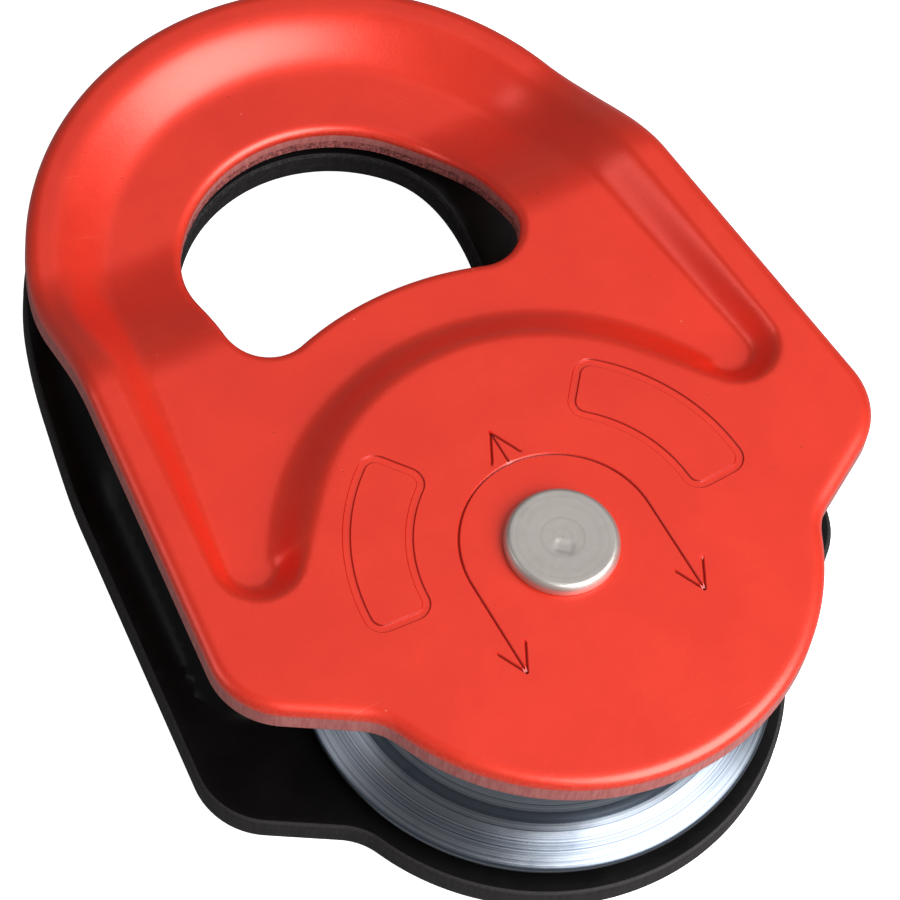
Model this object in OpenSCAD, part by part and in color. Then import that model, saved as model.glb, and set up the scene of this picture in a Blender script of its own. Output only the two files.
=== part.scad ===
// Swing-cheek rope pulley: two dished cheek plates turn on one riveted axle, on either
// side of a grooved sheave that runs on two sealed ball bearings.
// X is across the plates, +Y points from the axle to the carabiner eye, and +Z comes out
// of the front cheek. The origin is on the axle, midway between the plates.

/* [Cheek plates] */
// How far the sheave end of each plate stands out past the sheave's flanges
cheek_cover = 1.6; // [1:0.1:4]
// Radius of the eye end of each plate
cheek_eye_r = 33.4; // [31:0.1:40]
// Distance from the axle to the centre of the eye end
cheek_eye_y = 44.3; // [42:0.1:56]
// How far each shoulder corner's centre is out past the radius of the sheave end
shoulder_out = 2.8; // [1.5:0.1:3.5]
// Height of the shoulder corner centres over the axle
shoulder_y = 3.3; // [2.4:0.1:4.4]
// Radius of each shoulder corner
shoulder_r = 8.3; // [7.5:0.1:8.8]
// Radius of the notch between a shoulder and the sheave end
notch_r = 6.6; // [5:0.1:7]
// Angle of each notch below the X axis, seen from the axle
notch_angle = 23.7; // [23:0.1:26]
// Thickness of each plate
cheek_t = 3.7; // [3.2:0.1:4.6]
// Free space between the flat parts of the two plates
cheek_gap = 22.4; // [20.6:0.1:28]
// Free space between the two plates round the eye
eye_gap = 1.5; // [0.6:0.1:4]

/* [Pressed zone] */
// Depth of the zone round the eye that is pressed towards the other plate
press_depth = 3.3; // [1.5:0.1:3.6]
// Width of the standing rim between the plate's edge and the pressed zone
press_rim = 6.6; // [5:0.1:9]
// Gap between the sheave's flanges and the pressed zone's inner wall
press_gap = 0.4; // [0.3:0.1:1.5]
// Radius of the two rounded ends of the pressed zone
press_lobe_r = 3; // [2:0.1:4]
// Angle of the rounded ends over the X axis, seen from the axle
press_lobe_angle = 24; // [20:1:30]

/* [Bend] */
// Distance from the axle to the start of the bend
bend_start = 36.5; // [30:0.5:38]
// Length of the bend along the plate
bend_run = 18.7; // [14:0.1:24]

/* [Eye] */
// Radius of the arched top of the carabiner eye
eye_r = 17.2; // [14:0.1:20]
// Distance from the axle to the centre of the eye's arch
eye_y = 43.7; // [40:0.1:48]
// Width of the bridge between the pressed zone's inner edge and the eye
eye_bridge = 7.3; // [4:0.1:8]
// Radius of the two lower corners of the eye
eye_corner_r = 4.9; // [3:0.1:6]
// Angle of the eye's lower corners over the X axis, seen from the axle
eye_corner_angle = 72.2; // [68:0.1:76]

/* [Sheave] */
// Outside radius of the sheave's flanges
flange_r = 25.4; // [24:0.1:30.6]
// Radius at the bottom of the rope groove
tread_r = 19; // [16:0.1:20]
// Radius of the groove's rounded bottom
groove_r = 8.4; // [7:0.1:9]
// Half of the width of the groove's rounded bottom
groove_half_w = 6.6; // [5:0.1:7]
// Thickness of each flange at its edge
flange_lip_t = 0.8; // [0.5:0.1:1.2]
// Gap between the sheave and each plate
sheave_gap = 1.8; // [0.4:0.1:2]

/* [Bearings] */
// Bore radius of each ball bearing
bearing_bore_r = 5; // [4.8:0.1:6]
// Outside radius of each ball bearing
bearing_outer_r = 13; // [12.6:0.1:14.6]
// Width of each ball bearing
bearing_w = 8; // [7.6:0.1:8.5]
// Diameter of the bearing balls
ball_d = 4.72; // [3.9:0.01:4.8]
// Number of balls in each bearing
ball_count = 7; // [6:1:7]

/* [Axle] */
// Radius of the axle's stepped-down ends, on which the plates turn
pivot_r = 4; // [3.3:0.1:4.8]
// Radius of each axle head at the plate
head_r = 6; // [5.5:0.1:8]
// Height of each axle head over the plate
head_h = 1.35; // [1:0.05:2]
// Width of the bevel round each axle head
head_bevel = 0.45; // [0.2:0.05:0.8]
// Radius of the axle's tail inside the riveted collar
tail_r = 3; // [2.5:0.1:3.4]

/* [Fits] */
// Radial clearance of each plate on the axle
pivot_fit = 0.05; // [0.02:0.01:0.1]
// End play between the axle's shoulders and heads and the plates
end_play = 0.05; // [0.03:0.01:0.15]
// Clearance of each ball in its races and cage
ball_fit = 0.02; // [0.01:0.01:0.05]
// Gap between each seal and the inner race
seal_gap = 0.1; // [0.05:0.01:0.2]

/* [Hidden] */
$fn = 96;

// Levels along the axle
face_in = cheek_gap / 2;
face_out = face_in + cheek_t;
sheave_half_w = face_in - sheave_gap;
bearing_mid = bearing_w / 2;

// Plate outline, pressed zone and bend
arc_steps = 16;
bend_steps = 10;
press_wall = 2.6;
cheek_end_r = flange_r + cheek_cover;
press_inner_r = flange_r + press_gap + press_wall;
eye_low_r = press_inner_r + eye_bridge;
bend_depth = (cheek_gap - eye_gap) / 2 - press_depth;
lobe_reach = press_inner_r + press_lobe_r;
eye_corner_reach = eye_low_r + eye_corner_r;
notch_reach = cheek_end_r + notch_r;
past = 30;

// Sheave
ring_t = 1.1;
ring_groove_depth = 0.7;
ring_w = 2.1;
bore_lip = 1.4;
side_relief = 0.6;
hub_face_r = bearing_outer_r + 3;
rim_face_r = flange_r - 2.9;

// Bearings
pitch_r = (bearing_bore_r + bearing_outer_r) / 2;
race_r = ball_d / 2 + ball_fit;
land_t = 0.3 * (bearing_outer_r - bearing_bore_r);
cage_half_t = 1;
cage_half_w = 2.9;
seal_t = 0.5;
seal_inset = 0.25;

// Axle stack
washer_t = 0.85;
washer_r = bearing_bore_r + 3.5;
shoulder_z = face_in - end_play;
washer_z = shoulder_z - washer_t;
head_z = face_out + end_play;

function polar(r, a) = [r * cos(a), r * sin(a)];

// Angle of the outward normal of the line that touches two circles [x, y, r].
// A negative radius turns the outline the other way round.
function touch(a, b) =
    let (
        v = [b.x - a.x, b.y - a.y],
        turn = (a.z - b.z) / norm(v),
        angle = atan2(v.y, v.x) + acos(max(-1, min(1, turn)))
    )
    angle > 90 ? angle - 360 : angle;

// Points along one circle of the chain, from normal angle a0 to a1
function round_points(c, a0, a1) =
    [for (i = [0:arc_steps]) [c.x, c.y] + polar(c.z, a0 + (a1 - a0) * i / arc_steps)];

// Right half of an outline that runs round a chain of circles, from the top to the bottom.
// grow moves the whole outline outwards.
function half_outline(chain, grow) =
    let (
        last = len(chain) - 1,
        c = [for (k = chain) [k.x, k.y, k.z + grow]],
        turns = concat([90], [for (i = [0:last - 1]) touch(c[i], c[i + 1])], [-90])
    )
    [for (i = [0:last]) each round_points(c[i], turns[i], turns[i + 1])];

function mirrored(points) =
    [for (i = [len(points) - 2:-1:1]) [-points[i].x, points[i].y]];

// Pressed distance of the bend at distance y from the axle
function bend_at(y) =
    let (u = max(0, min(1, (y - bend_start) / bend_run)))
    bend_depth * u * u * (3 - 2 * u);

plate_chain = [
    [0, cheek_eye_y, cheek_eye_r],
    [cheek_end_r + shoulder_out, shoulder_y, shoulder_r],
    concat(polar(notch_reach, -notch_angle), -notch_r),
    [0, 0, cheek_end_r]
];
press_chain = [
    [0, cheek_eye_y, cheek_eye_r - press_rim],
    concat(polar(lobe_reach, press_lobe_angle), press_lobe_r),
    [0, 0, -press_inner_r]
];
eye_chain = [
    [0, eye_y, eye_r],
    concat(polar(eye_corner_reach, eye_corner_angle), eye_corner_r),
    [0, 0, -eye_low_r]
];

module outline(chain, grow = 0) {
    right = half_outline(chain, grow);
    polygon(concat(right, mirrored(right)));
}

module prism(chain, grow = 0) {
    translate([0, 0, -past])
        linear_extrude(2 * past)
            outline(chain, grow);
}

// Bent strip of plate, seen from the side, as wide as the whole plate
module bent_strip(drop) {
    steps = [for (i = [0:bend_steps]) bend_start + bend_run * i / bend_steps];
    y_low = -cheek_end_r - past;
    y_high = cheek_eye_y + cheek_eye_r + past;
    ys = concat([y_low], steps, [y_high]);
    top = [for (y = ys) [y, face_out - drop - bend_at(y)]];
    under = [for (i = [len(ys) - 1:-1:0]) [ys[i], face_in - drop - bend_at(ys[i])]];
    half_w = cheek_eye_r + past;
    translate([-half_w, 0, 0])
        rotate([90, 0, 90])
            linear_extrude(2 * half_w)
                polygon(concat(top, under));
}

// One dished plate: flat round the sheave, with the pressed zone, the bend and the eye
module cheek_plate() {
    difference() {
        union() {
            difference() {
                intersection() {
                    prism(plate_chain);
                    bent_strip(0);
                }
                prism(press_chain);
            }
            intersection() {
                prism(press_chain, press_wall);
                bent_strip(press_depth);
            }
        }
        prism(eye_chain);
        cylinder(r = pivot_r + pivot_fit, h = 4 * past, center = true);
    }
}

module front_cheek_plate() {
    color("#e03c2c")
        cheek_plate();
}

module rear_cheek_plate() {
    color("#1c1a1b")
        mirror([0, 0, 1])
            cheek_plate();
}

// Stepped axle with its front head. The tail stands in the riveted collar behind.
module axle() {
    color("#c9c6c2")
        rotate_extrude()
            polygon([
                [0, -head_z - head_h],
                [tail_r, -head_z - head_h],
                [tail_r, -head_z],
                [pivot_r, -head_z],
                [pivot_r, -shoulder_z],
                [bearing_bore_r, -shoulder_z],
                [bearing_bore_r, shoulder_z],
                [pivot_r, shoulder_z],
                [pivot_r, head_z],
                [head_r, head_z],
                [head_r - head_bevel, head_z + head_h],
                [0, head_z + head_h]
            ]);
}

module axle_collar() {
    color("#bdbab6")
        rotate_extrude()
            polygon([
                [tail_r, -head_z - head_h],
                [head_r - head_bevel, -head_z - head_h],
                [head_r, -head_z],
                [tail_r, -head_z]
            ]);
}

// Flat ring between two levels
module flat_ring(r_in, r_out, z_low, z_high) {
    rotate_extrude()
        translate([r_in, z_low])
            square([r_out - r_in, z_high - z_low]);
}

module thrust_washer() {
    color("#3d3f45")
        flat_ring(bearing_bore_r, washer_r, washer_z, shoulder_z);
}

module spacer() {
    color("#b9b7ae")
        flat_ring(bearing_bore_r, bearing_bore_r + land_t, bearing_w, washer_z);
}

// Sheave section above the bore, with the rope groove, relieved sides and the ring groove
module sheave() {
    groove_z = tread_r + groove_r;
    groove_end = acos(groove_half_w / groove_r);
    lip_z = sheave_half_w - flange_lip_t;
    groove = [for (i = [0:2 * arc_steps])
        let (a = groove_end + (180 - 2 * groove_end) * i / (2 * arc_steps))
        [groove_z - groove_r * sin(a), groove_r * cos(a)]];
    ring_z = bearing_w + ring_t;
    color("#c4c8cc")
        rotate_extrude()
            polygon(concat(
                [[bearing_outer_r, -bearing_w],
                 [bearing_outer_r - bore_lip, -bearing_w],
                 [bearing_outer_r - bore_lip, -sheave_half_w],
                 [hub_face_r, -sheave_half_w],
                 [hub_face_r + side_relief, side_relief - sheave_half_w],
                 [rim_face_r, side_relief - sheave_half_w],
                 [rim_face_r + side_relief, -sheave_half_w],
                 [flange_r, -sheave_half_w],
                 [flange_r, -lip_z]],
                [for (i = [len(groove) - 1:-1:0]) groove[i]],
                [[flange_r, lip_z],
                 [flange_r, sheave_half_w],
                 [rim_face_r + side_relief, sheave_half_w],
                 [rim_face_r, sheave_half_w - side_relief],
                 [hub_face_r + side_relief, sheave_half_w - side_relief],
                 [hub_face_r, sheave_half_w],
                 [bearing_outer_r, sheave_half_w],
                 [bearing_outer_r, ring_z],
                 [bearing_outer_r + ring_groove_depth, ring_z],
                 [bearing_outer_r + ring_groove_depth, bearing_w],
                 [bearing_outer_r, bearing_w]]
            ));
}

// Split ring that holds the bearings in the sheave
module retaining_ring() {
    gap = 3;
    color("#6b6d70")
        difference() {
            flat_ring(bearing_outer_r + ring_groove_depth - ring_w,
                      bearing_outer_r + ring_groove_depth, bearing_w, bearing_w + ring_t);
            translate([0, -gap / 2, bearing_w - 1])
                cube([2 * bearing_outer_r, gap, ring_t + 2]);
        }
}

// Torus that the balls run in, at the middle of a bearing
module ball_track() {
    rotate_extrude()
        translate([pitch_r, 0])
            circle(r = race_r);
}

module outer_race() {
    color("#a9adb2")
        difference() {
            flat_ring(bearing_outer_r - land_t, bearing_outer_r, -bearing_mid, bearing_mid);
            ball_track();
        }
}

module inner_race() {
    color("#a9adb2")
        difference() {
            flat_ring(bearing_bore_r, bearing_bore_r + land_t, -bearing_mid, bearing_mid);
            ball_track();
        }
}

// Moves its children to the place of each ball on the pitch circle
module at_ball(i) {
    rotate([0, 0, 360 * (i - 1) / ball_count])
        translate([pitch_r, 0, 0])
            children();
}

module ball_cage() {
    color("#8a6b3d")
        difference() {
            flat_ring(pitch_r - cage_half_t, pitch_r + cage_half_t, -cage_half_w, cage_half_w);
            for (i = [1:ball_count])
                at_ball(i)
                    rotate([0, 90, 0])
                        cylinder(d = ball_d + 2 * ball_fit, h = 4 * cage_half_t, center = true);
        }
}

module ball(i) {
    color("#d8dadd")
        at_ball(i)
            sphere(d = ball_d);
}

// Seal near one face of a bearing: side is 1 for the outer face and -1 for the inner one
module seal(side) {
    z_out = bearing_mid - seal_inset;
    z_in = z_out - seal_t;
    color("#26262a")
        flat_ring(bearing_bore_r + land_t + seal_gap, bearing_outer_r - land_t,
                  side > 0 ? z_in : -z_out, side > 0 ? z_out : -z_in);
}

module in_front() {
    translate([0, 0, bearing_mid])
        children();
}

module behind() {
    mirror([0, 0, 1])
        in_front()
            children();
}

front_cheek_plate();
rear_cheek_plate();
axle();
axle_collar();
thrust_washer();  // front_thrust_washer
mirror([0, 0, 1]) thrust_washer();  // rear_thrust_washer
spacer();  // front_spacer
mirror([0, 0, 1]) spacer();  // rear_spacer
sheave();
retaining_ring();
in_front() outer_race();  // front_outer_race
behind() outer_race();  // rear_outer_race
in_front() inner_race();  // front_inner_race
behind() inner_race();  // rear_inner_race
in_front() ball_cage();  // front_ball_cage
behind() ball_cage();  // rear_ball_cage
in_front() seal(1);  // front_outer_seal
in_front() seal(-1);  // front_inner_seal
behind() seal(1);  // rear_outer_seal
behind() seal(-1);  // rear_inner_seal
for (i = [1:ball_count]) {
    in_front() ball(i);
    behind() ball(i);
}
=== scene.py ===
import math

import bmesh
import bpy
import numpy as np
from mathutils import Matrix, Vector, noise
from mathutils.geometry import delaunay_2d_cdt


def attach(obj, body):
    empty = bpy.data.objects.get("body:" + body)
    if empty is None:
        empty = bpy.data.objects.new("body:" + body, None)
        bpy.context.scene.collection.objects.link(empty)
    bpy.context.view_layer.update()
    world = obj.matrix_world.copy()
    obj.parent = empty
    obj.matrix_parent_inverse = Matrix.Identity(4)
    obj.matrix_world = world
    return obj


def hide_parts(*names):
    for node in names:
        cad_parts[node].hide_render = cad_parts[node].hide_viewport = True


# Lengths in this script are millimetres until a mesh is made
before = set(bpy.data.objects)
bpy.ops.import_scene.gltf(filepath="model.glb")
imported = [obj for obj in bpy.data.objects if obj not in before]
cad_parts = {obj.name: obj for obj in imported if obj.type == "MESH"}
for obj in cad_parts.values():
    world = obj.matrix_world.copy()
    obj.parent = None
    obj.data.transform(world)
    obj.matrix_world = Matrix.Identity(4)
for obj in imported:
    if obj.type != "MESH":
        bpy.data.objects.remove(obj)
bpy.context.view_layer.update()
mm = 0.001
print("frame loaded,", len(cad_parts), "nodes")


# A socket that can stand in a sum
class Signal:
    def __init__(self, board, socket):
        self.board = board
        self.socket = socket

    def do(self, operation, *values):
        made = self.board.node("ShaderNodeMath", {"operation": operation}, dict(enumerate(values)))
        return Signal(self.board, made.outputs[0])

    def __add__(self, other):
        return self.do("ADD", self, other)

    def __sub__(self, other):
        return self.do("SUBTRACT", self, other)

    def __mul__(self, other):
        return self.do("MULTIPLY", self, other)

    def __pow__(self, other):
        return self.do("POWER", self, other)

    def __radd__(self, other):
        return self.do("ADD", other, self)

    def __rsub__(self, other):
        return self.do("SUBTRACT", other, self)

    def __rmul__(self, other):
        return self.do("MULTIPLY", other, self)

    # 0 below low, 1 above high, with a soft step between
    def above(self, low, high):
        made = self.board.node("ShaderNodeMapRange", {"interpolation_type": "SMOOTHSTEP"},
                               {"Value": self, "From Min": low, "From Max": high})
        return Signal(self.board, made.outputs["Result"])

    def below(self, low, high):
        return 1.0 - self.above(low, high)


class Board:
    # One material and its node tree, with places in millimetres
    def __init__(self, name):
        self.material = bpy.data.materials.new(name)
        self.material.use_nodes = True
        self.tree = self.material.node_tree
        self.tree.nodes.clear()
        self.shader = self.tree.nodes.new("ShaderNodeBsdfPrincipled")
        self.output = self.tree.nodes.new("ShaderNodeOutputMaterial")
        self.tree.links.new(self.shader.outputs["BSDF"], self.output.inputs["Surface"])
        coordinates = self.node("ShaderNodeTexCoord").outputs["Object"]
        scaled = self.node("ShaderNodeVectorMath", {"operation": "SCALE"},
                           {"Vector": Signal(self, coordinates), "Scale": 1000.0})
        self.place = Signal(self, scaled.outputs["Vector"])
        parts = self.node("ShaderNodeSeparateXYZ", values={"Vector": self.place})
        self.x, self.y, self.z = [Signal(self, parts.outputs[k]) for k in range(3)]
        self.radius = (self.x * self.x + self.y * self.y) ** 0.5
        self.bumps = None

    def node(self, kind, settings=None, values=None):
        made = self.tree.nodes.new(kind)
        for key, value in (settings or {}).items():
            setattr(made, key, value)
        for key, value in (values or {}).items():
            if isinstance(value, Signal):
                self.tree.links.new(value.socket, made.inputs[key])
            else:
                made.inputs[key].default_value = value
        return made

    def noise(self, size, detail=2.0, rough=0.5, at=None, warp=0.0):
        made = self.node("ShaderNodeTexNoise", {"noise_dimensions": "3D"},
                         {"Vector": at or self.place, "Scale": 1.0 / size, "Detail": detail, "Roughness": rough,
                          "Distortion": warp})
        return Signal(self, made.outputs["Fac"])

    # Noise along a single number, such as a radius
    def lineNoise(self, at, detail, rough=0.5):
        made = self.node("ShaderNodeTexNoise", {"noise_dimensions": "1D"},
                         {"W": at, "Scale": 1.0, "Detail": detail, "Roughness": rough})
        return Signal(self, made.outputs["Fac"])

    def cells(self, size):
        made = self.node("ShaderNodeTexVoronoi", {"feature": "F1"}, {"Vector": self.place, "Scale": 1.0 / size})
        return Signal(self, made.outputs["Distance"]), Signal(self, made.outputs["Color"])

    def turned(self, angle, stretch):
        made = self.node("ShaderNodeMapping", {"vector_type": "POINT"},
                         {"Vector": self.place, "Rotation": (0.0, 0.0, math.radians(angle)), "Scale": stretch})
        return Signal(self, made.outputs["Vector"])

    def mix(self, share, first, second):
        made = self.node("ShaderNodeMix", {"data_type": "RGBA"}, {0: share, 6: first, 7: second})
        return Signal(self, made.outputs[2])

    def attribute(self, name):
        made = self.node("ShaderNodeAttribute", {"attribute_name": name})
        return Signal(self, made.outputs["Fac"])

    # Sparse small pits: 1 in a pit, 0 outside
    def pits(self, spacing, size, share):
        distance, tint = self.cells(spacing)
        chosen = self.node("ShaderNodeSeparateColor", values={0: tint})
        kept = Signal(self, chosen.outputs[0]).above(1.0 - share, 1.01 - share)
        return distance.below(size * 0.5, size) * kept

    # Fine scratches in a few directions: 1 on a scratch
    def scratches(self, angles, length, width, share):
        total = None
        for k, angle in enumerate(angles):
            lane = self.turned(angle, (1.0 / length, 1.0 / width, 1.0 / length))
            lines = self.noise(1.0, detail=1.0, rough=0.4, at=lane).above(1.0 - share, 1.04 - share)
            patch = self.noise(14.0 + 3 * k, detail=0.0, rough=0.5).above(0.5, 0.62)  # leaves some areas unscratched
            line = lines * patch
            total = line if total is None else total.do("MAXIMUM", total, line)
        return total

    def bump(self, height, distance, strength=1.0):
        values = {"Height": height, "Distance": distance * mm, "Strength": strength}
        if self.bumps is not None:
            values["Normal"] = self.bumps
        self.bumps = Signal(self, self.node("ShaderNodeBump", values=values).outputs["Normal"])

    def finish(self, **looks):
        if self.bumps is not None:
            looks["Normal"] = self.bumps
        for key, value in looks.items():
            slot = self.shader.inputs[key.replace("_", " ")]
            if isinstance(value, Signal):
                self.tree.links.new(value.socket, slot)
            else:
                slot.default_value = value
        return self.material


# Screen colour, 0 to 255, as the linear colour that a shader takes
def rgb(r, g, b):
    def linear(c):
        c = c / 255
        return c / 12.92 if c <= 0.04045 else ((c + 0.055) / 1.055) ** 2.4
    return (linear(r), linear(g), linear(b), 1.0)


# Anodised sheet: clouds and mottling in the colour, pits, specks, scratches, worn edges, and painted shade in the
# engraved grooves and pocket steps
def anodised(name, look):
    board = Board(name)
    cloud = board.noise(9.0, detail=3.0, rough=0.55)
    fine = board.noise(0.35, detail=3.0, rough=0.6)
    mottle = board.noise(1.7, detail=2.0, rough=0.5)
    pit = board.pits(spacing=2.6, size=0.05, share=0.35)
    speck = board.pits(spacing=3.4, size=0.035, share=0.4)
    scratch = board.scratches((12, 67, 128), length=9.0, width=0.11, share=0.21)
    rub = board.attribute("edgeRub")
    recessShade = board.attribute("recessShade")
    base = board.mix(cloud.above(0.3, 0.7), look["deep"], look["bright"])
    base = board.mix(mottle.above(0.45, 0.75) * 0.25, base, look["deep"])
    base = board.mix(pit * 0.5, base, look["pit"])
    base = board.mix(speck * 0.55, base, look["speck"])
    base = board.mix(scratch * look["scratch"], base, look["worn"])
    base = board.mix(rub * fine.above(0.3, 0.75) * look["rub"], base, look["worn"])
    # painted shade: the engraved grooves and the pocket steps are darkened towards the pit colour
    base = board.mix(recessShade.above(0.1, 0.8) * 0.85, base, look["pit"])
    board.bump(fine, look["grain"])
    board.bump(mottle, look["wave"])
    board.bump(1.0 - pit, 0.03, strength=0.8)
    board.bump(1.0 - scratch, 0.006, strength=0.6)
    rough = look["rough"] + (cloud - 0.5) * 0.12 + (fine - 0.5) * 0.1 + scratch * 0.05
    return board.finish(Base_Color=base, Roughness=rough, Metallic=look["metal"],
                        Specular_IOR_Level=look["specular"], Coat_Weight=look["coat"], Coat_Roughness=0.3)


redLook = {
    "deep": rgb(228, 45, 19), "bright": rgb(234, 50, 22), "pit": rgb(120, 18, 14), "speck": rgb(250, 150, 130),
    "worn": rgb(240, 120, 100), "scratch": 0.3, "rub": 0.35, "grain": 0.018, "wave": 0.02, "rough": 0.4,
    "metal": 0.45, "specular": 0.6, "coat": 0.6,
}
blackLook = {
    "deep": rgb(11, 10, 11), "bright": rgb(18, 17, 18), "pit": rgb(6, 6, 6), "speck": rgb(120, 118, 116),
    "worn": rgb(90, 88, 88), "scratch": 0.25, "rub": 0.3, "grain": 0.012, "wave": 0.02, "rough": 0.36, "metal": 0.1,
    "specular": 0.13, "coat": 0.0,
}
redFinish = anodised("redAnodised", redLook)
blackFinish = anodised("blackAnodised", blackLook)


# Sheared edge of a punched plate: smooth burnished band above, torn band below
def sheared(name, look):
    board = Board(name)
    depth = board.attribute("wallDepth")
    lane = board.node("ShaderNodeVectorMath", {"operation": "MULTIPLY"}, {0: board.place, 1: (1.0, 1.0, 0.12)})
    streak = board.noise(0.35, detail=3.0, rough=0.6, at=Signal(board, lane.outputs[0]))
    torn = board.noise(0.8, detail=4.0, rough=0.7, warp=0.6)
    grit = board.noise(0.16, detail=2.0, rough=0.6)
    edge = depth + (board.noise(2.4, detail=3.0, rough=0.6) - 0.5) * 0.35
    lower = edge.above(0.5, 0.56)
    crack = torn.above(0.47, 0.5) * torn.below(0.53, 0.56) * lower
    base = board.mix(streak.above(0.3, 0.7), look["dull"], look["light"])
    base = board.mix(lower * grit.above(0.3, 0.7) * 0.6, base, look["torn"])
    base = board.mix(crack * 0.85, base, look["crack"])
    board.bump(streak, 0.03, strength=0.8)
    board.bump(grit * lower, 0.05, strength=0.7)
    board.bump(1.0 - crack, 0.08, strength=0.8)
    rough = 0.55 + grit * 0.2 + lower * 0.1
    return board.finish(Base_Color=base, Roughness=rough, Metallic=look["metal"], Specular_IOR_Level=0.4)


redShear = sheared("redSheared", {"dull": rgb(176, 96, 92), "light": rgb(194, 120, 116), "torn": rgb(150, 62, 58),
                                  "crack": rgb(70, 24, 22), "metal": 0.25})
blackShear = sheared("blackSheared", {"dull": rgb(28, 26, 27), "light": rgb(42, 38, 38), "torn": rgb(26, 24, 24),
                                      "crack": rgb(8, 8, 8), "metal": 0.2})


# Turned or rolled metal: rings follow the radius, streaks go round; streaks and clouds towards the stain colour are
# partly painted reflection
def turnedMetal(name, look):
    board = Board(name)
    along = board.radius + board.z * 0.83  # so that flat faces and round walls both get rings
    rings = board.lineNoise(along * 15.0, detail=4.0, rough=0.7)
    streaksAndReflection = board.lineNoise(along * 1.3 + 7.0, detail=2.0)
    cloud = board.noise(5.0, detail=3.0, rough=0.6)
    grit = board.noise(0.12, detail=2.0, rough=0.6)
    pit = board.pits(spacing=1.6, size=0.04, share=0.3)
    rub = board.scratches((20, 95), length=5.0, width=0.08, share=0.2)
    base = board.mix(rings.above(0.3, 0.7), look["dull"], look["light"])
    # partly painted reflection, partly stain: coarse bands and clouds darken towards the stain colour
    base = board.mix(streaksAndReflection.above(0.5, 0.75) * look["streak"], base, look["stainAndReflection"])
    base = board.mix(cloud.above(0.5, 0.8) * 0.35, base, look["stainAndReflection"])
    base = board.mix(pit * 0.6, base, look["stainAndReflection"])
    board.bump(rings, look["ringDepth"])
    board.bump(grit, 0.006, strength=0.7)
    board.bump(1.0 - rub, 0.006, strength=0.6)
    board.bump(1.0 - pit, 0.02, strength=0.7)
    rough = look["rough"] + (rings - 0.5) * 0.2 + (cloud - 0.5) * 0.15 + rub * 0.1
    return board.finish(Base_Color=base, Roughness=rough, Metallic=look["metal"], Specular_IOR_Level=0.5)


# Moulded plastic or rubber
def moulded(name, look):
    board = Board(name)
    cloud = board.noise(3.0, detail=3.0, rough=0.6)
    grit = board.noise(0.14, detail=3.0, rough=0.6)
    pit = board.pits(spacing=1.1, size=0.05, share=0.3)
    rub = board.scratches((35, 110), length=3.0, width=0.07, share=0.22)
    base = board.mix(cloud.above(0.3, 0.7), look["deep"], look["light"])
    base = board.mix(pit * 0.5 + rub * 0.3, base, look["worn"])
    board.bump(grit, look["grain"])
    board.bump(1.0 - pit, 0.02, strength=0.6)
    rough = look["rough"] + (cloud - 0.5) * 0.15 + (grit - 0.5) * 0.1
    return board.finish(Base_Color=base, Roughness=rough, Metallic=0.0, Specular_IOR_Level=0.5)


finishes = {
    "red_anodised": redFinish,
    "black_anodised": blackFinish,
    # bluish stain colour and strong streaks: painted reflection of dark surroundings on the sheave
    "turned_aluminium": turnedMetal("turnedAluminium", {
        "dull": rgb(86, 94, 106), "light": rgb(150, 156, 164), "stainAndReflection": rgb(46, 62, 82), "streak": 0.6,
        "ringDepth": 0.012, "rough": 0.33, "metal": 1.0}),
    "rivet_steel": turnedMetal("rivetSteel", {
        "dull": rgb(192, 186, 180), "light": rgb(206, 200, 194), "stainAndReflection": rgb(160, 152, 144), "streak": 0.2,
        "ringDepth": 0.002, "rough": 0.42, "metal": 0.85}),
    "bearing_steel": turnedMetal("bearingSteel", {
        "dull": rgb(150, 152, 156), "light": rgb(200, 202, 206), "stainAndReflection": rgb(96, 98, 104), "streak": 0.3,
        "ringDepth": 0.006, "rough": 0.22, "metal": 1.0}),
    "ball_steel": turnedMetal("ballSteel", {
        "dull": rgb(196, 198, 202), "light": rgb(222, 224, 228), "stainAndReflection": rgb(150, 152, 158), "streak": 0.1,
        "ringDepth": 0.001, "rough": 0.1, "metal": 1.0}),
    "spring_steel": turnedMetal("springSteel", {
        "dull": rgb(84, 86, 90), "light": rgb(120, 122, 126), "stainAndReflection": rgb(54, 48, 44), "streak": 0.3,
        "ringDepth": 0.006, "rough": 0.34, "metal": 0.9}),
    "cage_plastic": moulded("cagePlastic", {
        "deep": rgb(124, 92, 50), "light": rgb(150, 116, 70), "worn": rgb(180, 150, 110),
        "grain": 0.01, "rough": 0.5}),
    "seal_rubber": moulded("sealRubber", {
        "deep": rgb(24, 24, 26), "light": rgb(40, 40, 42), "worn": rgb(70, 70, 70),
        "grain": 0.014, "rough": 0.62}),
    "washer_plastic": moulded("washerPlastic", {
        "deep": rgb(52, 54, 60), "light": rgb(70, 72, 78), "worn": rgb(110, 112, 116),
        "grain": 0.01, "rough": 0.48}),
}
slotOf = {"front_cheek_plate": "red_anodised", "rear_cheek_plate": "black_anodised", "axle": "rivet_steel",
          "axle_collar": "rivet_steel", "sheave": "turned_aluminium", "retaining_ring": "spring_steel"}
wordSlots = {"ball_cage": "cage_plastic", "seal": "seal_rubber", "race": "bearing_steel", "washer": "washer_plastic",
             "spacer": "turned_aluminium", "ball": "ball_steel"}
for nodeName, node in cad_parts.items():
    if nodeName not in slotOf:
        slotOf[nodeName] = next(slot for word, slot in wordSlots.items() if word in nodeName)
    node.data.materials.clear()
    node.data.materials.append(finishes[slotOf[nodeName]])
print("materials made,", len(finishes), "finishes")


atOnce = 3000  # points handled in one block, which keeps the memory small


def polar(r, degrees):
    a = math.radians(degrees)
    return [r * math.cos(a), r * math.sin(a)]


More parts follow.
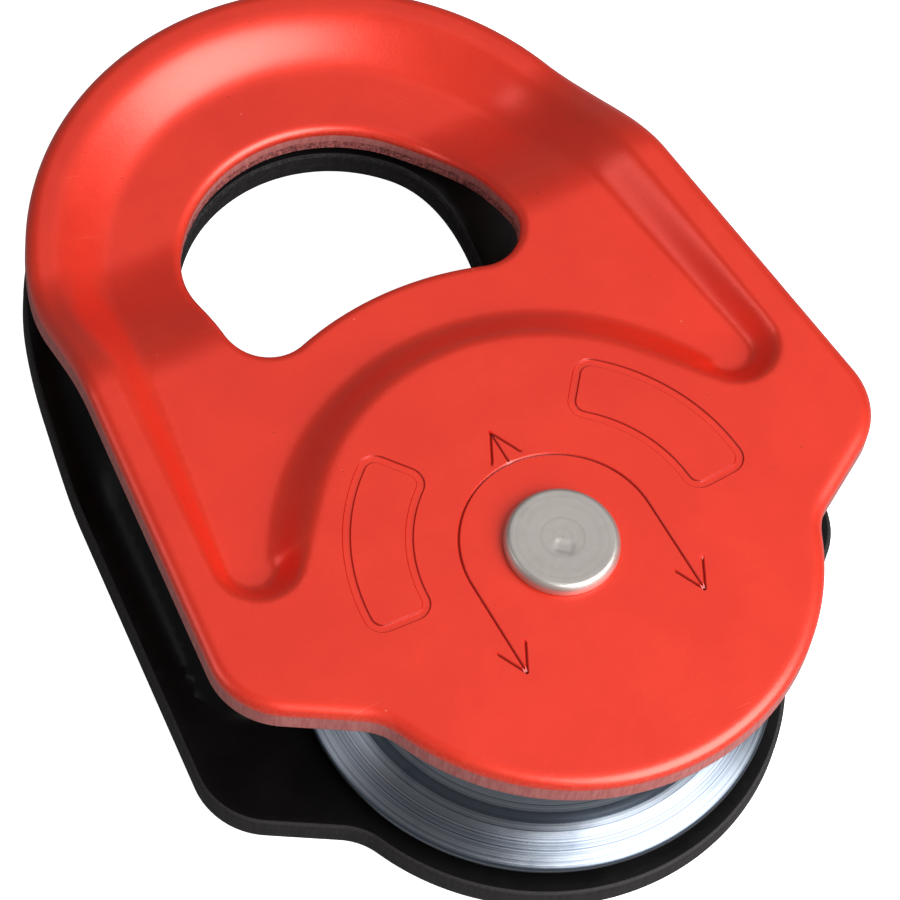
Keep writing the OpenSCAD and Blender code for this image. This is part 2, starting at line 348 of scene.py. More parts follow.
# Angle of the normal of the line that touches two circles [x, y, r]; a negative r turns the other way
def touchAngle(a, b):
    vx, vy = b[0] - a[0], b[1] - a[1]
    reach = math.hypot(vx, vy)
    angle = math.atan2(vy, vx) + math.acos(max(-1, min(1, (a[2] - b[2]) / reach)))
    return angle - 2 * math.pi if angle > math.pi / 2 + 1e-6 else angle


# Points at even steps along a polyline, its first point included
def evenly(line, step, closed):
    if closed:
        line = np.vstack([line, line[:1]])
    lengths = np.hypot(*np.diff(line, axis=0).T)
    keep = np.r_[True, lengths > 1e-9]
    line = line[keep]
    run = np.r_[0, np.cumsum(np.hypot(*np.diff(line, axis=0).T))]
    count = max(8, int(round(run[-1] / step)))
    at = np.linspace(0, run[-1], count + 1)
    points = np.c_[np.interp(at, run, line[:, 0]), np.interp(at, run, line[:, 1])]
    return points[:-1] if closed else points


# Closed loop, symmetric about x = 0, that runs round a chain of circles
def chainLoop(chain, step, grow=0.0):
    circles = [(c[0], c[1], c[2] + grow) for c in chain]
    turns = [math.pi / 2] + [touchAngle(a, b) for a, b in zip(circles, circles[1:])] + [-math.pi / 2]
    half = []
    for circle, start, end in zip(circles, turns, turns[1:]):
        angles = np.linspace(start, end, 60)
        half.append(np.c_[circle[0] + circle[2] * np.cos(angles), circle[1] + circle[2] * np.sin(angles)])
    half = np.vstack(half)
    other = half[::-1] * [-1, 1]
    loop = evenly(np.vstack([half, other[1:-1]]), step, True)
    return loop[::-1]


# Outward normals of a loop that chainLoop made
def loopNormals(loop):
    along = np.roll(loop, -1, axis=0) - np.roll(loop, 1, axis=0)
    normals = np.c_[along[:, 1], -along[:, 0]]
    return normals / np.linalg.norm(normals, axis=1)[:, None]


# Distance from each point to an open polyline
def distanceTo(points, line):
    a, b = line[:-1], line[1:]
    ab = b - a
    size = np.maximum((ab * ab).sum(1), 1e-12)
    best = np.empty(len(points))
    for k in range(0, len(points), atOnce):
        ap = points[k:k + atOnce, None] - a
        t = np.clip((ap * ab).sum(2) / size, 0, 1)
        off = ap - t[..., None] * ab
        best[k:k + atOnce] = np.sqrt((off * off).sum(2).min(1))
    return best


# True for each point inside a closed loop
def insideOf(points, loop):
    a, b = loop, np.roll(loop, -1, axis=0)
    result = np.empty(len(points), bool)
    for k in range(0, len(points), atOnce):
        x, y = points[k:k + atOnce, 0, None], points[k:k + atOnce, 1, None]
        crosses = (a[:, 1] > y) != (b[:, 1] > y)
        rise = np.where(b[:, 1] == a[:, 1], 1e-12, b[:, 1] - a[:, 1])
        at = a[:, 0] + (y - a[:, 1]) * (b[:, 0] - a[:, 0]) / rise
        result[k:k + atOnce] = (crosses & (x < at)).sum(1) % 2 == 1
    return result


# Distance to a closed loop, positive inside it
def depthInside(points, loop):
    distance = distanceTo(points, np.vstack([loop, loop[:1]]))
    return np.where(insideOf(points, loop), distance, -distance)


def smooth(u):
    u = np.clip(u, 0, 1)
    return u * u * (3 - 2 * u)


plate = {
    "outline": [[0, 44.3, 33.4], [29.8, 3.3, 8.3], polar(33.6, -23.7) + [-6.6], [0, 0, 27]],
    "eye": [[0, 43.7, 17.2], polar(40.6, 72.2) + [4.9], [0, 0, -35.7]],
    "slopeTop": [[0, 44.3, 30.8], [28.2, 12.3, 5.1], [0, 0, -24.1]],
    "slopeFoot": [[0, 42.9, 25.0], [28.3, 13.3, 2.2], [0, 0, -29.7]],
    "innerTop": [[0, 44.3, 31.2], [28.2, 12.3, 5.4], [0, 0, -25.9]],
    "innerFoot": [[0, 42.9, 26.0], [28.3, 13.3, 2.6], [0, 0, -30.6]],
    "faceOut": 14.9, "thick": 3.7, "press": 3.3, "bend": 7.15, "bendStart": 36.5, "bendRun": 18.7,
    "boreR": 4.05, "boreSides": 72, "underRound": 0.45, "underSteps": 3, "rimSteps": 9, "wallSteps": 7,
    "grid": 0.46, "underGrid": 1.1, "step": 0.5, "slopeStep": 0.4, "quickFactor": 2.2, "sharp": 32,
}
# The two sheared edges: rounding, how far the sheared wall reads as torn, and how rough it is
rimEdge = {"side": -1, "wide": 1.5, "deep": 1.15, "torn": 0.42, "rough": 0.02, "salt": 1}
eyeEdge = {"side": 1, "wide": 1.1, "deep": 1.0, "torn": 1.0, "rough": 0.09, "salt": 2}
wear = {"power": 4, "last": 0.6, "under": 0.2, "tearFrom": 0.35, "tearRun": 0.3, "tearBase": 0.6, "tearLast": 0.3}
net = {"rowRatio": 0.866, "ringClear": 0.55, "lineClear": 0.2}
marks = {
    "ropeR": 10.4, "legEnd": -11.1, "barb": 3.5, "barbAngle": 27, "eyeTip": 14.4, "stem": 0.25,
    "width": 0.36, "depth": 0.2,
    "bandOut": (14.9, 22.2, 2.0), "bandWide": 0.95, "bandDepth": 0.2, "bandSide": 0.16,
    # painted shade: a little on the pocket floors, most halfway down each pocket step
    "bandAngles": ((123, 183), (-3, 57)), "bandFloorShade": 0.1, "bandSlopeShade": 0.85, "bandShadeSpread": 0.25,
}


def bendAt(y):
    return plate["bend"] * smooth((y - plate["bendStart"]) / plate["bendRun"])


# 0 outside the pressed zone, 1 on its floor
def pressAt(points, top, foot):
    intoTop = depthInside(points, chainLoop(top, 0.5))
    intoFoot = depthInside(points, chainLoop(foot, 0.5))
    share = intoTop / np.maximum(intoTop - intoFoot, 1e-6)
    return np.where(intoTop <= 0, 0.0, np.where(intoFoot >= 0, 1.0, smooth(share)))


# Height of the shown face, and of the face under it
def faceAt(points):
    pressed = pressAt(points, plate["slopeTop"], plate["slopeFoot"])
    return plate["faceOut"] - bendAt(points[:, 1]) - plate["press"] * pressed


def underAt(points):
    pressed = pressAt(points, plate["innerTop"], plate["innerFoot"])
    return plate["faceOut"] - plate["thick"] - bendAt(points[:, 1]) - plate["press"] * pressed


# Closed outline of a curved pocket between two radii and two angles, shrunk by some distance
def pocketLoop(shrink, angles):
    low, high, corner = marks["bandOut"]
    trim = math.degrees(2 * corner / (low + high))
    start, end = angles[0] + trim, angles[1] - trim
    bend = corner - shrink
    inner, outer = low + corner, high - corner
    loop = [np.array(polar(outer + bend, a)) for a in np.linspace(start, end, 60)]
    for radius, at, turn in ((outer, end, 0), (inner, end, 90)):
        loop += [np.array(polar(radius, at)) + polar(bend, at + turn + a) for a in np.linspace(0, 90, 9)]
    loop += [np.array(polar(inner - bend, a)) for a in np.linspace(end, start, 50)]
    for radius, at, turn in ((inner, start, 180), (outer, start, 270)):
        loop += [np.array(polar(radius, at)) + polar(bend, at + turn + a) for a in np.linspace(0, 90, 9)]
    return evenly(np.array(loop), 0.35, True)


# Rope path with an arrowhead at each end, and a third arrow towards the eye
def engravedLines():
    r, leg, barb = marks["ropeR"], marks["legEnd"], marks["barb"]
    arc = [polar(r, a) for a in np.linspace(180, 0, 90)]
    steps = 24
    down = [[-r, leg * k / steps] for k in range(steps, 0, -1)]
    up = [[r, leg * k / steps] for k in range(1, steps + 1)]
    lines = [np.array(down + arc + up)]
    for x, y, back in ((-r, leg, 90), (r, leg, 90), (0, marks["eyeTip"], -90)):
        for side in (-1, 1):
            tip = np.array([x, y])
            away = np.array(polar(barb, back + side * marks["barbAngle"]))
            lines.append(np.array([tip, tip + away * 0.5, tip + away]))
    lines.append(np.array([[0, r + marks["stem"]], [0, (r + marks["eyeTip"]) / 2], [0, marks["eyeTip"]]]))
    return lines


# Lines that the face's net has to hold so that the marks come out crisp
def markGuides(strokes):
    half, slope, wide = marks["width"] / 2, marks["bandSide"], marks["bandWide"]
    lines = []
    for stroke in strokes:
        path = evenly(stroke, 0.45, False)
        along = np.gradient(path, axis=0)
        side = np.c_[-along[:, 1], along[:, 0]] / np.linalg.norm(along, axis=1)[:, None]
        lines += [(path + side * shift, False) for shift in (-half, 0, half)]
    for angles in marks["bandAngles"]:
        for shrink in (0, slope / 2, slope, wide - slope, wide - slope / 2, wide):
            lines.append((pocketLoop(shrink, angles), True))
    return lines


# How deep the marks lie below the face at each point, and how much painted shade darkens them
def markDepth(points, strokes):
    depth, recessShade = np.zeros(len(points)), np.zeros(len(points))
    for stroke in strokes:
        groove = np.clip(1 - distanceTo(points, evenly(stroke, 0.3, False)) / (marks["width"] / 2), 0, 1)
        depth += marks["depth"] * groove
        recessShade = np.maximum(recessShade, groove)
    for angles in marks["bandAngles"]:
        fromOut = depthInside(points, pocketLoop(0, angles))
        fromIn = -depthInside(points, pocketLoop(marks["bandWide"], angles))
        across = np.minimum(fromOut, fromIn) / marks["bandSide"]
        side = np.clip(across, 0, 1)
        depth += marks["bandDepth"] * side
        # painted shade along each pocket step, and a little on the pocket floor
        bandSlopeShade = marks["bandSlopeShade"] * np.exp(-((across - 0.5) / marks["bandShadeSpread"]) ** 2)
        recessShade = np.maximum(recessShade, marks["bandFloorShade"] * side + bandSlopeShade)
    return depth, recessShade


def closedUp(ring):
    return np.vstack([ring, ring[:1]])


# Fills a flat region with an even triangle net that holds the given lines; keeps what lies between rings
def fillFace(rings, lines, spacing):
    points, edges = [], []
    for line, closed in [(ring, True) for ring in rings] + lines:
        start = sum(len(p) for p in points)
        points.append(line)
        count = len(line)
        edges.extend((start + k, start + (k + 1) % count) for k in range(count if closed else count - 1))

    def between(places):
        inside = insideOf(places, rings[0])
        for ring in rings[1:]:
            inside &= ~insideOf(places, ring)
        return inside

    low, high = rings[0].min(0), rings[0].max(0)
    rows = np.arange(low[1], high[1], spacing * net["rowRatio"])
    columns = np.arange(low[0], high[0], spacing)
    grid = np.array([(x + (k % 2) * spacing / 2, y) for k, y in enumerate(rows) for x in columns])
    grid = grid[between(grid)]
    away = np.min([distanceTo(grid, closedUp(ring)) for ring in rings], axis=0)
    grid = grid[away > spacing * net["ringClear"]]
    for line, closed in lines:
        grid = grid[distanceTo(grid, closedUp(line) if closed else line) > net["lineClear"]]

    places = [Vector(p) for p in np.vstack(points + [grid])]
    made = delaunay_2d_cdt(places, edges, [], 0, 1e-5)
    flat = np.array([tuple(v) for v in made[0]])
    faces = np.array([f for f in made[2] if len(f) == 3])
    faces = faces[between(flat[faces].mean(1))]
    newIndex = {source: k for k, sources in enumerate(made[3]) for source in sources}
    ringIndex, at = [], 0
    for ring in rings:
        ringIndex.append(np.array([newIndex[at + k] for k in range(len(ring))]))
        at += len(ring)
    return flat, faces, ringIndex


# Rings of one edge from the face down: rounding, sheared wall with small unevenness, small rounding below.
# Each has its place, height, wear, share of the wall and material
def edgeLevels(loop, normal, edge, seed):
    levels = []
    out = edge["side"] * normal
    for k in range(1, plate["rimSteps"] + 1):
        turn = math.pi / 2 * k / plate["rimSteps"]
        place = loop + out * edge["wide"] * (1 - math.sin(turn))
        drop = edge["deep"] * (1 - math.cos(turn))
        worn = math.sin(turn) ** wear["power"] * (1 if k < plate["rimSteps"] else wear["last"])
        levels.append((place, faceAt(place) - drop, worn, 0.0, 0))
    upper = levels[-1][1]
    bottom = underAt(loop) + plate["underRound"]
    for k in range(1, plate["wallSteps"] + 1):
        share = k / plate["wallSteps"]
        z = upper + (bottom - upper) * share
        jog = []
        for (x, y), zz in zip(loop, z):
            broad = noise.noise(Vector((x * 0.9, y * 0.9, zz * 2.2 + seed + edge["salt"])))
            jog.append(broad + 0.5 * noise.noise(Vector((x * 2.7, y * 2.7, zz * 3.1 + seed))))
        tear = edge["rough"] * smooth((share - wear["tearFrom"]) / wear["tearRun"])
        tear *= 1 if k < plate["wallSteps"] else wear["tearLast"]
        place = loop + out * (tear * (wear["tearBase"] + np.array(jog)))[:, None]
        levels.append((place, z, 0.0, share * edge["torn"], 1))
    for k in range(1, plate["underSteps"]):
        turn = math.pi / 2 * k / plate["underSteps"]
        inset, drop = plate["underRound"] * (1 - math.cos(turn)), plate["underRound"] * math.sin(turn)
        levels.append((loop + out * inset, bottom - drop, wear["under"], edge["torn"], 1))
    return levels


def buildCheek(name, engraved, mirrored, skin, raw, seed):
    outerLoop = chainLoop(plate["outline"], plate["step"])
    eyeLoop = chainLoop(plate["eye"], plate["step"])
    boreAngles = np.linspace(0, 2 * math.pi, plate["boreSides"], endpoint=False)
    boreLoop = plate["boreR"] * np.c_[np.cos(boreAngles), np.sin(boreAngles)]
    outerNormal, eyeNormal = loopNormals(outerLoop), loopNormals(eyeLoop)

    strokes = engravedLines() if engraved else []
    lines = markGuides(strokes) if engraved else []
    lines += [(chainLoop(plate[curve], plate["slopeStep"]), True) for curve in ("slopeTop", "slopeFoot")]
    faceRings = [outerLoop - outerNormal * rimEdge["wide"], eyeLoop + eyeNormal * eyeEdge["wide"], boreLoop]
    spacing = plate["grid"] * 1
    flat, faces, ringIndex = fillFace(faceRings, lines, spacing)
    height, recessShade = faceAt(flat), np.zeros(len(flat))
    if engraved:
        depth, recessShade = markDepth(flat, strokes)
        height = height - depth

    under = plate["underRound"]
    underRings = [outerLoop - outerNormal * under, eyeLoop + eyeNormal * under, boreLoop]
    flatUnder, facesUnder, ringUnder = fillFace(underRings, [], plate["underGrid"])

    coords = [np.c_[flat, height], np.c_[flatUnder, underAt(flatUnder)]]
    polygons = [tuple(f) for f in faces] + [tuple(f[::-1] + len(flat)) for f in facesUnder]
    matIndex = [0] * len(polygons)
    rub = [np.zeros(len(flat) + len(flatUnder))]
    wallDepth = [np.zeros(len(flat) + len(flatUnder))]

    def stitch(previous, current, material):
        count = len(previous)
        for k in range(count):
            after = (k + 1) % count
            polygons.append((previous[k], current[k], current[after], previous[after]))
            matIndex.append(material)

    edges = ((outerLoop, outerNormal, rimEdge), (eyeLoop, eyeNormal, eyeEdge))
    for (loop, normal, edge), previous, underRing in zip(edges, ringIndex, ringUnder):
        count = len(loop)
        for place, z, worn, share, material in edgeLevels(loop, normal, edge, seed):
            start = sum(len(c) for c in coords)
            current = np.arange(start, start + count)
            coords.append(np.c_[place, z])
            rub.append(np.full(count, worn))
            wallDepth.append(np.full(count, share))
            stitch(previous, current, material)
            previous = current
        stitch(previous, underRing + len(flat), 1)
    stitch(ringIndex[2], ringUnder[2] + len(flat), 0)

    points = np.vstack(coords) * mm
    if mirrored:
        points = points * [1, 1, -1]
    mesh = bpy.data.meshes.new(name)
    mesh.from_pydata([tuple(p) for p in points], [], [tuple(int(i) for i in p) for p in polygons])
    recessShades = np.r_[recessShade, np.zeros(len(points) - len(recessShade))]
    for key, values in (("edgeRub", np.concatenate(rub)), ("wallDepth", np.concatenate(wallDepth)), ("recessShade", recessShades)):
        layer = mesh.attributes.new(key, "FLOAT", "POINT")
        layer.data.foreach_set("value", values.astype(np.float32))
    mesh.materials.append(skin)
    mesh.materials.append(raw)
    mesh.polygons.foreach_set("material_index", np.array(matIndex, np.int32))
    tidyMesh(mesh, plate["sharp"])
    cheek = bpy.data.objects.new(name, mesh)
    bpy.context.scene.collection.objects.link(cheek)
    return cheek


# Faces outward, smooth shading, sharp edges above an angle
def tidyMesh(mesh, angle):
    work = bmesh.new()
    work.from_mesh(mesh)
    loose = [v for v in work.verts if not v.link_faces]
    bmesh.ops.delete(work, geom=loose, context="VERTS")
    bmesh.ops.recalc_face_normals(work, faces=work.faces)
    work.to_mesh(mesh)
    work.free()
    mesh.polygons.foreach_set("use_smooth", [True] * len(mesh.polygons))
    mesh.set_sharp_from_angle(angle=math.radians(angle))
    mesh.update()


def settle(piece, body, slotName, *nodes):
    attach(piece, body)
    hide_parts(*nodes)


frontCheek = buildCheek("front_cheek_detail", True, False, redFinish, redShear, 3.0)
settle(frontCheek, "front_cheek", "red_anodised", "front_cheek_plate")
rearCheek = buildCheek("rear_cheek_detail", False, True, blackFinish, blackShear, 11.0)
settle(rearCheek, "rear_cheek", "black_anodised", "rear_cheek_plate")
print("cheeks made,", len(frontCheek.data.polygons), "and", len(rearCheek.data.polygons), "faces")


# Node tree that turns a profile (x is the radius, z the height) about the axle, with fine tool rings
def turningTree():
    tree = bpy.data.node_groups.new("turning", "GeometryNodeTree")
    sockets = {}
    sockets["Profile"] = tree.interface.new_socket("Profile", in_out="INPUT", socket_type="NodeSocketGeometry")
    for label, kind in (("Segments", "NodeSocketInt"), ("Ring depth", "NodeSocketFloat"),
                        ("Ring seed", "NodeSocketInt"),
                        ("Weld", "NodeSocketFloat"), ("Finish", "NodeSocketMaterial")):
        sockets[label] = tree.interface.new_socket(label, in_out="INPUT", socket_type=kind)
    tree.interface.new_socket("Part", in_out="OUTPUT", socket_type="NodeSocketGeometry")

    def node(kind, settings=None, links=None):
        made = tree.nodes.new(kind)
        for key, value in (settings or {}).items():
            setattr(made, key, value)
        for key, value in (links or {}).items():
            if isinstance(value, (int, float)):
                made.inputs[key].default_value = value
            else:
                tree.links.new(value, made.inputs[key])
        return made

    def maths(operation, *values):
        return node("ShaderNodeMath", {"operation": operation}, dict(enumerate(values))).outputs[0]

    given = node("NodeGroupInput").outputs
    size = node("GeometryNodeAttributeDomainSize", {"component": "MESH"}, {"Geometry": given["Profile"]})
    rows = size.outputs["Point Count"]
    columns = maths("ADD", given["Segments"], 1)
    grid = node("GeometryNodeMeshGrid", None, {"Vertices X": columns, "Vertices Y": rows})
    index = node("GeometryNodeInputIndex").outputs[0]
    column = maths("FLOOR", maths("DIVIDE", maths("ADD", index, 0.5), rows))
    row = maths("SUBTRACT", index, maths("MULTIPLY", column, rows))
    position = node("GeometryNodeInputPosition").outputs[0]
    sample = node("GeometryNodeSampleIndex", {"data_type": "FLOAT_VECTOR", "domain": "POINT"},
                  {"Geometry": given["Profile"], "Value": position, "Index": row})
    parts = node("ShaderNodeSeparateXYZ", None, {0: sample.outputs[0]})
    tool = node("FunctionNodeRandomValue", {"data_type": "FLOAT"}, {"ID": row, "Seed": given["Ring seed"]})
    swing = maths("MULTIPLY", maths("SUBTRACT", tool.outputs[1], 0.5), given["Ring depth"])
    swing = maths("MULTIPLY", swing, maths("GREATER_THAN", parts.outputs[0], 0.0001))
    radius = maths("ADD", parts.outputs[0], swing)
    height = maths("ADD", parts.outputs[2], swing)
    angle = maths("DIVIDE", maths("MULTIPLY", column, 2 * math.pi), given["Segments"])
    place = node("ShaderNodeCombineXYZ", None, {0: maths("MULTIPLY", radius, maths("COSINE", angle)),
                                                1: maths("MULTIPLY", radius, maths("SINE", angle)), 2: height})
    moved = node("GeometryNodeSetPosition", None, {"Geometry": grid.outputs["Mesh"], "Position": place.outputs[0]})
    welded = node("GeometryNodeMergeByDistance", None, {"Geometry": moved.outputs[0], "Distance": given["Weld"]})
    real = node("GeometryNodeRealizeInstances", None, {0: welded.outputs[0]})
    painted = node("GeometryNodeSetMaterial", None, {"Geometry": real.outputs[0], "Material": given["Finish"]})
    node("NodeGroupOutput", None, {0: painted.outputs[0]})
    return tree, {label: socket.identifier for label, socket in sockets.items()}


turning, turningIds = turningTree()
weldReach = 0.0000004  # metres; closes the seam and the poles


# Rounds the corners of a profile and puts points along it at even steps
def profileLine(corners, step, closed=True):
    points = []
    count = len(corners)
    for k, corner in enumerate(corners):
        here = np.array(corner[:2], float)
        rounding = corner[2] if len(corner) > 2 else 0.0
        ends = not closed and k in (0, count - 1)
        if rounding <= 0 or ends:
            points.append(here)
            continue
        before = np.array(corners[k - 1][:2], float) - here
        after = np.array(corners[(k + 1) % count][:2], float) - here
        u, v = before / np.linalg.norm(before), after / np.linalg.norm(after)
        a, b = here + u * rounding, here + v * rounding
        for t in np.linspace(0, 1, 6):
            points.append((1 - t) ** 2 * a + 2 * t * (1 - t) * here + t * t * b)
    if closed:
        points.append(points[0])
    line = [points[0]]
    for a, b in zip(points, points[1:]):
        parts = max(1, int(math.ceil(np.linalg.norm(b - a) / step)))
        line.extend(a + (b - a) * k / parts for k in range(1, parts + 1))
    return np.array(line)


def turnedPiece(name, corners, finish, step=0.5, closed=True, segments=144, rings=0.0, seed=1, sharp=28):
    line = profileLine(corners, step, closed)
    profile = bpy.data.meshes.new(name + "_profile")
    links = [(k, k + 1) for k in range(len(line) - 1)]
    profile.from_pydata([(r * mm, 0, z * mm) for r, z in line], links, [])
    maker = bpy.data.objects.new(name + "_maker", profile)
    bpy.context.scene.collection.objects.link(maker)
    modifier = maker.modifiers.new("turning", "NODES")
    modifier.node_group = turning
    inputs = {"Segments": segments, "Ring depth": rings * mm, "Ring seed": seed, "Weld": weldReach, "Finish": finish}
    for label, value in inputs.items():
        modifier[turningIds[label]] = value
    bpy.context.view_layer.update()
    mesh = bpy.data.meshes.new_from_object(maker.evaluated_get(bpy.context.evaluated_depsgraph_get()))
    mesh.name = name
    bpy.data.objects.remove(maker)
    tidyMesh(mesh, sharp)
    if not mesh.materials:
        mesh.materials.append(finish)
    piece = bpy.data.objects.new(name, mesh)
    bpy.context.scene.collection.objects.link(piece)
    return piece


# Half widths and lengths are measured from the sheave's mid-plane
sheaveSize = {"bore": 13.0, "lipBore": 11.6, "halfW": 9.4, "bearingW": 8.0, "hub": 16.0, "rim": 22.5,
              "relief": 0.6, "flange": 25.4, "lip": 0.8, "tread": 19.0, "grooveR": 8.4, "grooveHalf": 6.6,
              "ringT": 1.1, "ringDeep": 0.7}


def sheaveCorners(s):
    end = math.degrees(math.acos(s["grooveHalf"] / s["grooveR"]))
    centre = s["tread"] + s["grooveR"]
    groove = [(centre - s["grooveR"] * math.sin(math.radians(a)), s["grooveR"] * math.cos(math.radians(a)))
              for a in np.linspace(180 - end, end, 49)]
    w, lipZ, relief = s["halfW"], s["halfW"] - s["lip"], s["relief"]
    ringTop = s["bearingW"] + s["ringT"]
    corners = [(s["bore"], -s["bearingW"]), (s["lipBore"], -s["bearingW"], 0.2), (s["lipBore"], -w, 0.3),
               (s["hub"], -w, 0.25), (s["hub"] + relief, relief - w, 0.2), (s["rim"], relief - w, 0.2),
               (s["rim"] + relief, -w, 0.2), (s["flange"], -w, 0.35), (s["flange"], -lipZ, 0.3)]
    corners += groove
    ringR = s["bore"] + s["ringDeep"]
    corners += [(s["flange"], lipZ, 0.3), (s["flange"], w, 0.35), (s["rim"] + relief, w, 0.2),
                (s["rim"], w - relief, 0.2), (s["hub"] + relief, w - relief, 0.2), (s["hub"], w, 0.25),
                (s["bore"], w, 0.3), (s["bore"], ringTop), (ringR, ringTop), (ringR, s["bearingW"]),
                (s["bore"], s["bearingW"])]
    return corners


sheave = turnedPiece("sheave_detail", sheaveCorners(sheaveSize), finishes["turned_aluminium"], step=0.3,
                     segments=240, rings=0.005, seed=5, sharp=24)
settle(sheave, "sheave", "turned_aluminium", "sheave")

axleSize = {"headZ": 14.95, "headH": 1.35, "headR": 6.0, "bevel": 0.5, "skirtH": 0.75, "skirtIn": 0.05,
            "pivotR": 4.0, "tailR": 3.0, "bore": 5.0, "shoulder": 11.15}


def axleCorners(s):
    top = s["headZ"] + s["headH"]
    return [(0, -top), (s["tailR"], -top, 0.15), (s["tailR"], -s["headZ"]), (s["pivotR"], -s["headZ"], 0.1),
            (s["pivotR"], -s["shoulder"]), (s["bore"], -s["shoulder"], 0.25), (s["bore"], s["shoulder"], 0.25),
            (s["pivotR"], s["shoulder"]), (s["pivotR"], s["headZ"]), (s["headR"], s["headZ"], 0.12),
            (s["headR"] - s["skirtIn"], s["headZ"] + s["skirtH"], 0.25),
            (s["headR"] - s["bevel"], top, 0.3), (0, top)]


axle = turnedPiece("axle_detail", axleCorners(axleSize), finishes["rivet_steel"], step=0.16, closed=False,
                   segments=120, rings=0.0015, seed=9)
headMark = {"centre": (-0.4, -1.0), "turn": -38, "half": (0.55, 0.3), "blend": 0.7, "depth": 0.09,
            "dishR": 5.2, "dishDepth": 0.06, "lump": 0.02, "lumpScale": 0.8, "reach": 5.6, "skin": 0.3}


# Shallow press mark and a slight dish on the head
def markHead(piece, top, m):
    cosine, sine = math.cos(math.radians(m["turn"])), math.sin(math.radians(m["turn"]))
    for vertex in piece.data.vertices:
        if vertex.co.z < (top - m["skin"]) * mm or vertex.co.xy.length > m["reach"] * mm:
            continue
        x, y = vertex.co.x / mm, vertex.co.y / mm
        across, up = x - m["centre"][0], y - m["centre"][1]
        u, v = across * cosine + up * sine, up * cosine - across * sine
        far = math.hypot(max(abs(u) - m["half"][0], 0.0), max(abs(v) - m["half"][1], 0.0))
        mark = m["depth"] * (1 - float(smooth(far / m["blend"])))
        dish = m["dishDepth"] * (1 - float(smooth(math.hypot(x, y) / m["dishR"])))
        lump = m["lump"] * noise.noise(Vector((x * m["lumpScale"], y * m["lumpScale"], 4.0)))
        vertex.co.z -= (mark + dish + abs(lump)) * mm


headTop = axleSize["headZ"] + axleSize["headH"]
markHead(axle, headTop, headMark)
settle(axle, "axle", "rivet_steel", "axle")


def collarCorners(s):
    top = s["headZ"] + s["headH"]
    return [(s["tailR"], -top, 0.1), (s["headR"] - s["bevel"], -top, 0.25),
            (s["headR"] - s["skirtIn"], -s["headZ"] - s["skirtH"], 0.2), (s["headR"], -s["headZ"], 0.1),
            (s["tailR"], -s["headZ"])]


collar = turnedPiece("axle_collar_detail", collarCorners(axleSize), finishes["rivet_steel"], step=0.2,
                     segments=120, rings=0.006, seed=14)
settle(collar, "axle", "rivet_steel", "axle_collar")


def ringCorners(low, high, zLow, zHigh, chamfer):
    return [(low, zLow, chamfer), (high, zLow, chamfer), (high, zHigh, chamfer), (low, zHigh, chamfer)]


stack = {"washerZ": 10.3, "washerR": 8.5, "washerEdge": 0.12, "spacerR": 7.4, "spacerEdge": 0.15, "step": 0.4}
for side, label in ((1, "front"), (-1, "rear")):
    low, high = sorted((side * stack["washerZ"], side * axleSize["shoulder"]))
    corners = ringCorners(axleSize["bore"], stack["washerR"], low, high, stack["washerEdge"])
    washer = turnedPiece(label + "_thrust_washer_detail", corners, finishes["washer_plastic"], stack["step"])
    settle(washer, "axle", "washer_plastic", label + "_thrust_washer")
    low, high = sorted((side * sheaveSize["bearingW"], side * stack["washerZ"]))
    corners = ringCorners(axleSize["bore"], stack["spacerR"], low, high, stack["spacerEdge"])
    spacer = turnedPiece(label + "_spacer_detail", corners, finishes["turned_aluminium"], stack["step"])
    settle(spacer, "axle", slotOf[label + "_spacer"], label + "_spacer")
print("turned pieces made")


stageLook = {"floorZ": -0.0168, "floorSize": 4.0, "glow": 0.95, "dim": (0.3, 0.3, 0.3, 1), "sky": 0.21}
bpy.ops.mesh.primitive_plane_add(size=stageLook["floorSize"], location=(0, 0, stageLook["floorZ"]))
floor = bpy.context.object
floor.name = "floor"
floorBoard = Board("paleFloor")
floorTone = floorBoard.mix(floorBoard.noise(60.0).above(0.3, 0.7), (0.9, 0.9, 0.9, 1), (0.93, 0.93, 0.93, 1))
floorBoard.finish(Base_Color=floorTone, Roughness=0.8, Emission_Color=(1, 1, 1, 1),
                  Emission_Strength=stageLook["glow"])
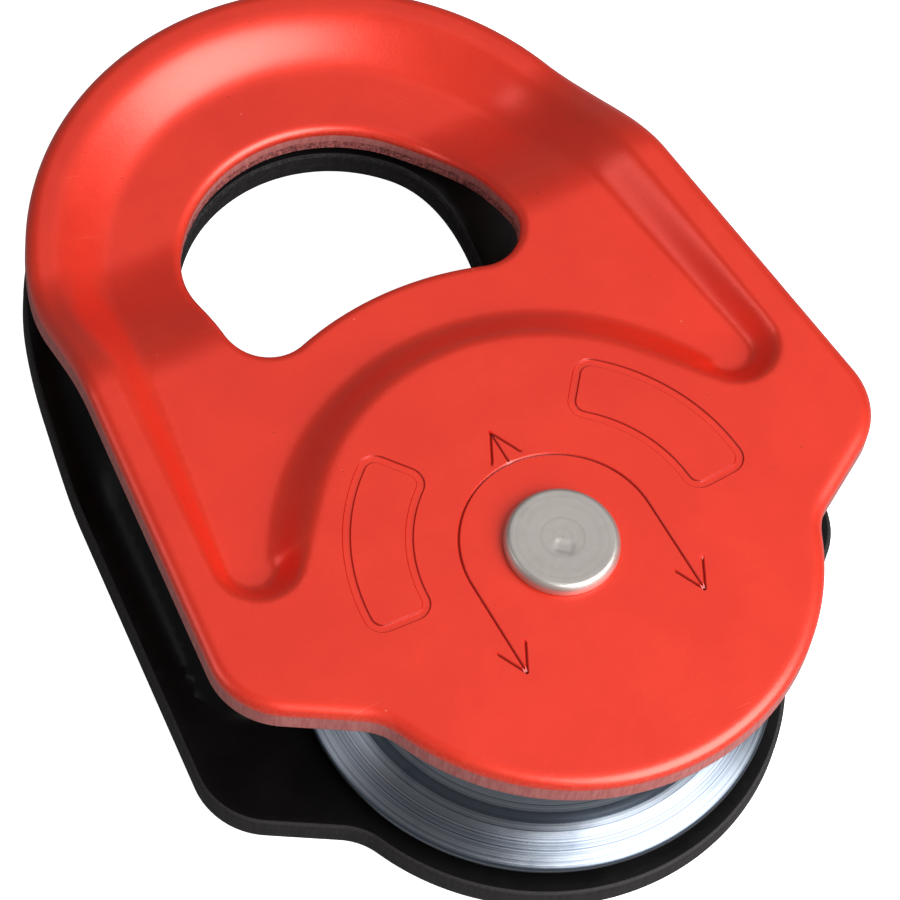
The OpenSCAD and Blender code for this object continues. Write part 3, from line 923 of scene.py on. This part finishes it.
# The floor looks pale to the camera but throws little light back at the part
dimFloor = floorBoard.node("ShaderNodeBsdfDiffuse", values={"Color": stageLook["dim"]})
seen = Signal(floorBoard, floorBoard.node("ShaderNodeLightPath").outputs["Is Camera Ray"])
chosen = floorBoard.node("ShaderNodeMixShader", values={0: seen})
floorBoard.tree.links.new(dimFloor.outputs[0], chosen.inputs[1])
floorBoard.tree.links.new(floorBoard.shader.outputs[0], chosen.inputs[2])
floorBoard.tree.links.new(chosen.outputs[0], floorBoard.output.inputs["Surface"])
floor.data.materials.append(floorBoard.material)

world = bpy.data.worlds.new("studio")
bpy.context.scene.world = world
world.use_nodes = True
sky = world.node_tree.nodes["Background"]
sky.inputs["Color"].default_value = (1, 1, 1, 1)
sky.inputs["Strength"].default_value = stageLook["sky"]


# Angles in degrees, distance and size in metres, power in watts
def softLight(name, azimuth, elevation, distance, size, power, target=(0, 0.02, 0)):
    data = bpy.data.lights.new(name, "AREA")
    data.shape = "RECTANGLE"
    data.size, data.size_y = size
    data.energy = power
    a, e = math.radians(azimuth), math.radians(elevation)
    place = Vector(target) + distance * Vector((math.cos(a) * math.cos(e), math.sin(a) * math.cos(e), math.sin(e)))
    lamp = bpy.data.objects.new(name, data)
    bpy.context.scene.collection.objects.link(lamp)
    lamp.location = place
    lamp.rotation_euler = (Vector(target) - place).to_track_quat("-Z", "Y").to_euler()


softLight("key", azimuth=-64, elevation=44, distance=0.5, size=(0.5, 0.4), power=4.7)
softLight("side", azimuth=157, elevation=32, distance=0.6, size=(0.26, 0.26), power=0.35)
softLight("back", azimuth=47, elevation=64, distance=0.6, size=(0.5, 0.4), power=0.25)

# Focal length in units of the picture's width of 900; turn and shift carry the part to the camera
view = {"focal": 4897.6, "width": 900.0, "sensor": 36.0, "near": 0.01, "turn": (2.571, -0.647, 0.302),
        "shift": (9.8, 16.75, 506.5)}
turn = Vector(view["turn"])
toEye = Matrix.Rotation(turn.length, 3, turn.normalized())
flip = Matrix(((1, 0, 0), (0, -1, 0), (0, 0, -1)))
worldToCamera = (flip @ toEye).to_4x4()
worldToCamera.translation = flip @ (Vector(view["shift"]) * mm)
cameraData = bpy.data.cameras.new("camera")
cameraData.sensor_width = view["sensor"]
cameraData.lens = view["focal"] * view["sensor"] / view["width"]
cameraData.clip_start = view["near"]
camera = bpy.data.objects.new("camera", cameraData)
bpy.context.scene.collection.objects.link(camera)
camera.matrix_world = worldToCamera.inverted()
bpy.context.scene.camera = camera
bpy.context.scene.view_settings.view_transform = "Standard"
print("stage and camera set")
